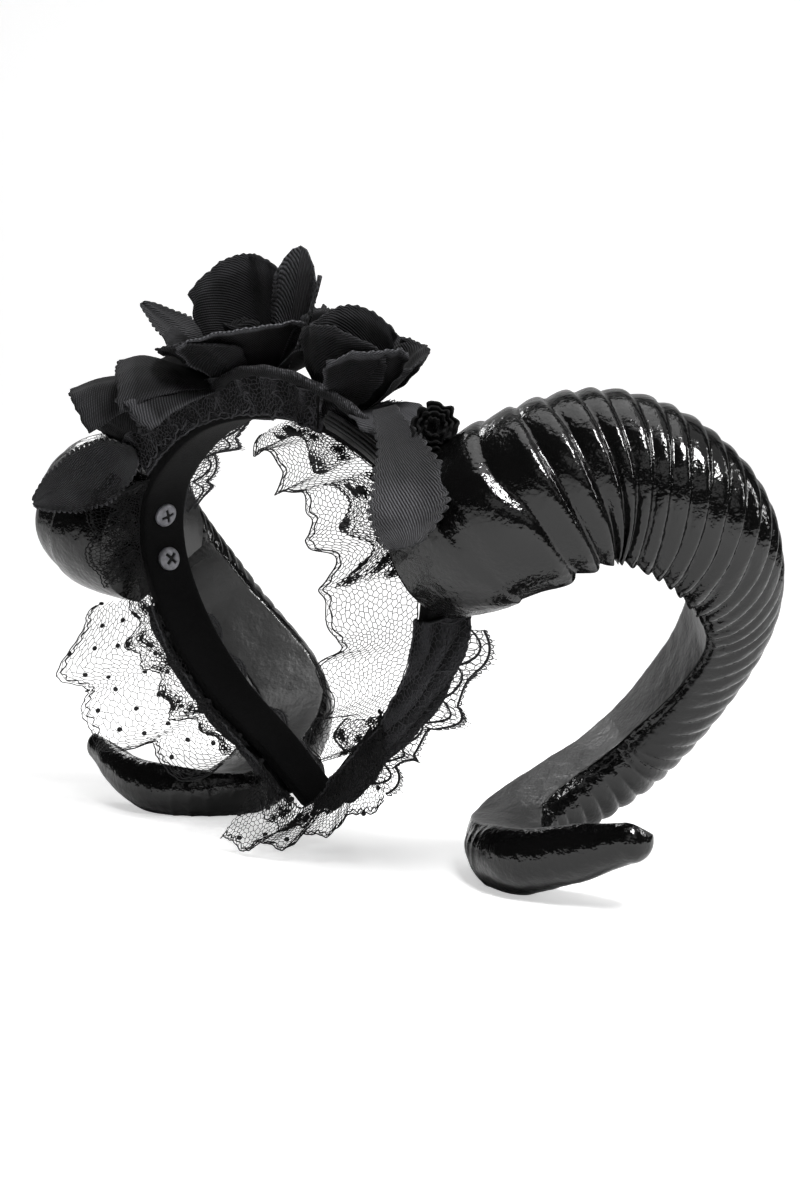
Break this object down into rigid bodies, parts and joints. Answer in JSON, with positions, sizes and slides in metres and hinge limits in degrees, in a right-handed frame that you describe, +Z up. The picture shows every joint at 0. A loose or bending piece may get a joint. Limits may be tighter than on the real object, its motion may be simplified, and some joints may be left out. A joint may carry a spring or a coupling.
{
  "type": "devil horns headband",
  "caption": "Costume headband with ribbed glossy curled horns screwed to its sides, cloth roses and leaves on top, and lace and dotted net frills along its edges.",
  "frame": {"origin": "on the floor, under the middle of the whole headpiece", "axes": "+Z up, +X to the wearer's left, -Y to the wearer's front"},
  "size_m": [0.302, 0.1442, 0.1932],
  "materials": {
    "horn_lacquer": "glossy black lacquer over moulded ribs",
    "band_velvet": "black velvet",
    "screw_metal": "grey, slightly tarnished",
    "rose_cloth": "stiffened twill, faded at its folds",
    "leaf_cloth": "stiffened ribbed weave with pinked edges",
    "satin_cloth": "pleated satin",
    "lace_thread": "black lace",
    "net_thread": "dotted black net"
  },
  "bodies": {
    "root": {"headband_core": "band_velvet", "horn_left": "horn_lacquer", "horn_right": "horn_lacquer", "screw_left_upper": "screw_metal", "screw_left_lower": "screw_metal", "screw_right_upper": "screw_metal", "screw_right_lower": "screw_metal", "lace_wrap_left": "lace_thread", "lace_wrap_right": "lace_thread", "lace_top": "lace_thread", "lace_collar": "lace_thread", "lace_drape": "lace_thread", "lace_edge_left_lower": "lace_thread", "lace_edge_left_upper": "lace_thread", "lace_edge_right_lower": "lace_thread", "lace_edge_right_upper": "lace_thread", "net_frill_left": "net_thread", "net_frill_right": "net_thread", "net_frill_bottom": "net_thread", "pleats": "satin_cloth", "piping": "satin_cloth", "rose_top": "rose_cloth", "rose_left": "rose_cloth", "rose_right": "rose_cloth", "rosette": "lace_thread", "leaf_left_hanging": "leaf_cloth", "leaf_right_hanging": "leaf_cloth", "leaf_top_back": "leaf_cloth", "leaf_top_left": "leaf_cloth", "leaf_back_right": "leaf_cloth", "leaf_front_right": "leaf_cloth", "leaf_back_left": "leaf_cloth"}
  },
  "joints": []
}
